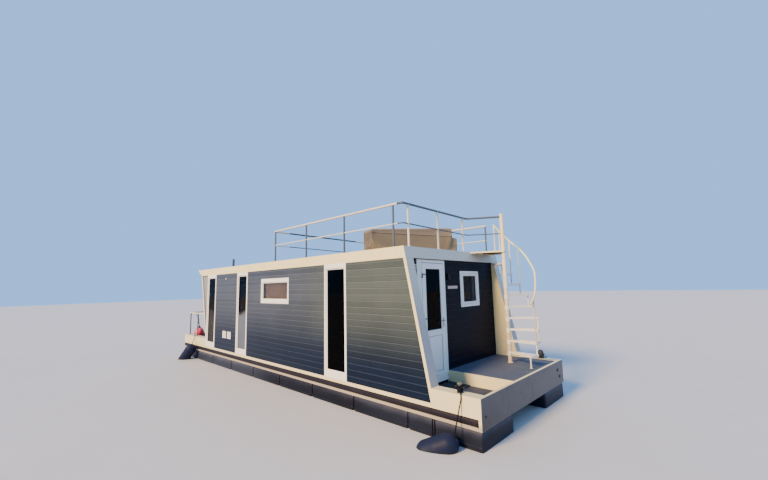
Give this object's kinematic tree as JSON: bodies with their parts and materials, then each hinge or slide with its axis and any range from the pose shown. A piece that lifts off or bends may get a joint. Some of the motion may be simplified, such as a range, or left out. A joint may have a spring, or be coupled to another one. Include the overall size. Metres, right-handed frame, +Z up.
{
  "type": "houseboat",
  "caption": "Rectangular houseboat on segmented floats, with a boarded cabin, opening end doors, a spiral stair and a railed roof terrace",
  "frame": {"origin": "Amidships on the centreline, level with the flat undersides of the floats.", "axes": "+X runs forward to the end with the spiral stair, +Y to port, +Z up."},
  "size_m": [12, 4.3816, 4.2198],
  "materials": {
    "float_plastic": "satin",
    "cream_paint": "satin",
    "rubber": "matte",
    "deck_coating": "matte",
    "mat": "matte",
    "boarding": "painted matte",
    "white_frame": "satin",
    "glass": "polished",
    "rail_steel": "satin",
    "cover_cloth": "matte",
    "fender_vinyl": "satin",
    "buoy_red": "matte",
    "lamp_black": "satin"
  },
  "bodies": {
    "hull": {"float_right": "float_plastic", "float_left": "float_plastic", "deck_frame": "cream_paint", "rubbing_strake_right": "rubber", "rubbing_strake_left": "rubber", "front_bulwark": "cream_paint", "rear_bulwark": "cream_paint", "front_platform": "deck_coating", "door_mat": "mat", "side_panel_right_aft": "boarding", "side_panel_right_mid": "boarding", "side_panel_right_fore": "boarding", "side_panel_left_aft": "boarding", "side_panel_left_fore": "boarding", "window_right_aft": "white_frame", "window_right_aft_glass": "glass", "window_right_mid": "white_frame", "window_right_mid_glass": "glass", "window_right_fore": "white_frame", "window_right_fore_glass": "glass", "window_right_small": "white_frame", "window_right_small_glass": "glass", "window_left_aft": "white_frame", "window_left_aft_glass": "glass", "window_left_fore": "white_frame", "window_left_fore_glass": "glass", "window_left_small": "white_frame", "window_left_small_glass": "glass", "front_fin_right": "cream_paint", "rear_fin_right": "cream_paint", "front_fin_left": "cream_paint", "rear_fin_left": "cream_paint", "front_wall": "boarding", "front_door_frame": "white_frame", "front_window": "white_frame", "front_window_glass": "glass", "rear_wall": "boarding", "rear_door_frame": "white_frame", "roof": "cream_paint", "stair_pole": "cream_paint", "stair_treads": "cream_paint", "stair_landing": "cream_paint", "stair_handrail": "cream_paint", "terrace_railing": "rail_steel", "rear_railing": "rail_steel", "furniture_cover": "cover_cloth", "roof_vent": "rail_steel", "front_fender_right": "fender_vinyl", "front_fender_left": "fender_vinyl", "rear_fender_right": "fender_vinyl", "rear_fender_left": "fender_vinyl", "ball_buoy": "buoy_red", "entrance_lamp": "lamp_black"},
    "front_door_leaf": {"front_door": "white_frame", "front_door_glass": "glass"},
    "rear_door_leaf_right": {"rear_door_right": "white_frame", "rear_door_right_glass": "glass"},
    "rear_door_leaf_left": {"rear_door_left": "white_frame", "rear_door_left_glass": "glass"}
  },
  "joints": [
    {"name": "front_door_hinge", "type": "hinge", "parent": "hull", "child": "front_door_leaf", "pos_m": [4.688, -1.224, 2.1], "axis": [0, 0, -1], "range_deg": [0, 90]},
    {"name": "rear_door_hinge_right", "type": "hinge", "parent": "hull", "child": "rear_door_leaf_right", "pos_m": [-4.048, -0.837, 2.1], "axis": [0, 0, 1], "range_deg": [0, 90]},
    {"name": "rear_door_hinge_left", "type": "hinge", "parent": "hull", "child": "rear_door_leaf_left", "pos_m": [-4.048, 0.837, 2.1], "axis": [0, 0, -1], "range_deg": [0, 90]}
  ]
}
